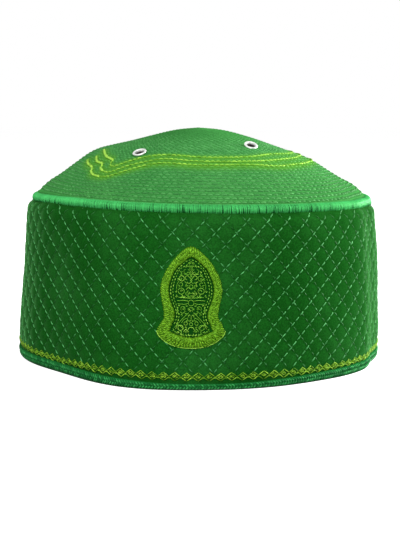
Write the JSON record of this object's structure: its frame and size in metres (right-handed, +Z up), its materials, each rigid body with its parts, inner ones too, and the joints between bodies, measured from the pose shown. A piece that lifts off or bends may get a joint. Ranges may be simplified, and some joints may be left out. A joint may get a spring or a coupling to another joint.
{
  "type": "kufi",
  "caption": "Oval brimless cap with a stiff quilted side band, a stitched welt around a domed crown, an embroidered badge at the front, metal eyelets and a bound foot.",
  "frame": {"origin": "middle of the cap's footprint, on the surface that it stands on", "axes": "+Z up through the crown, -Y to the badge at the front, +X to the right of someone who looks at the badge"},
  "size_m": [0.1802, 0.1981, 0.1125],
  "materials": {
    "quilted_cloth": "dark green satin cloth, quilted in diamonds with light green thread",
    "crown_cloth": "green cloth covered with rows of running stitch",
    "satin_stitch": "bright green satin stitch with a soft sheen",
    "binding_tape": "woven green tape, matt",
    "lime_thread": "lime embroidery thread with a sheen",
    "white_metal": "bright silvery white metal"
  },
  "bodies": {
    "root": {"band": "quilted_cloth", "crown": "crown_cloth", "welt": "satin_stitch", "binding": "binding_tape", "badge_border": "lime_thread", "eyelet_front_left": "white_metal", "eyelet_front_right": "white_metal", "eyelet_back_left": "white_metal", "eyelet_back_right": "white_metal"}
  },
  "joints": []
}
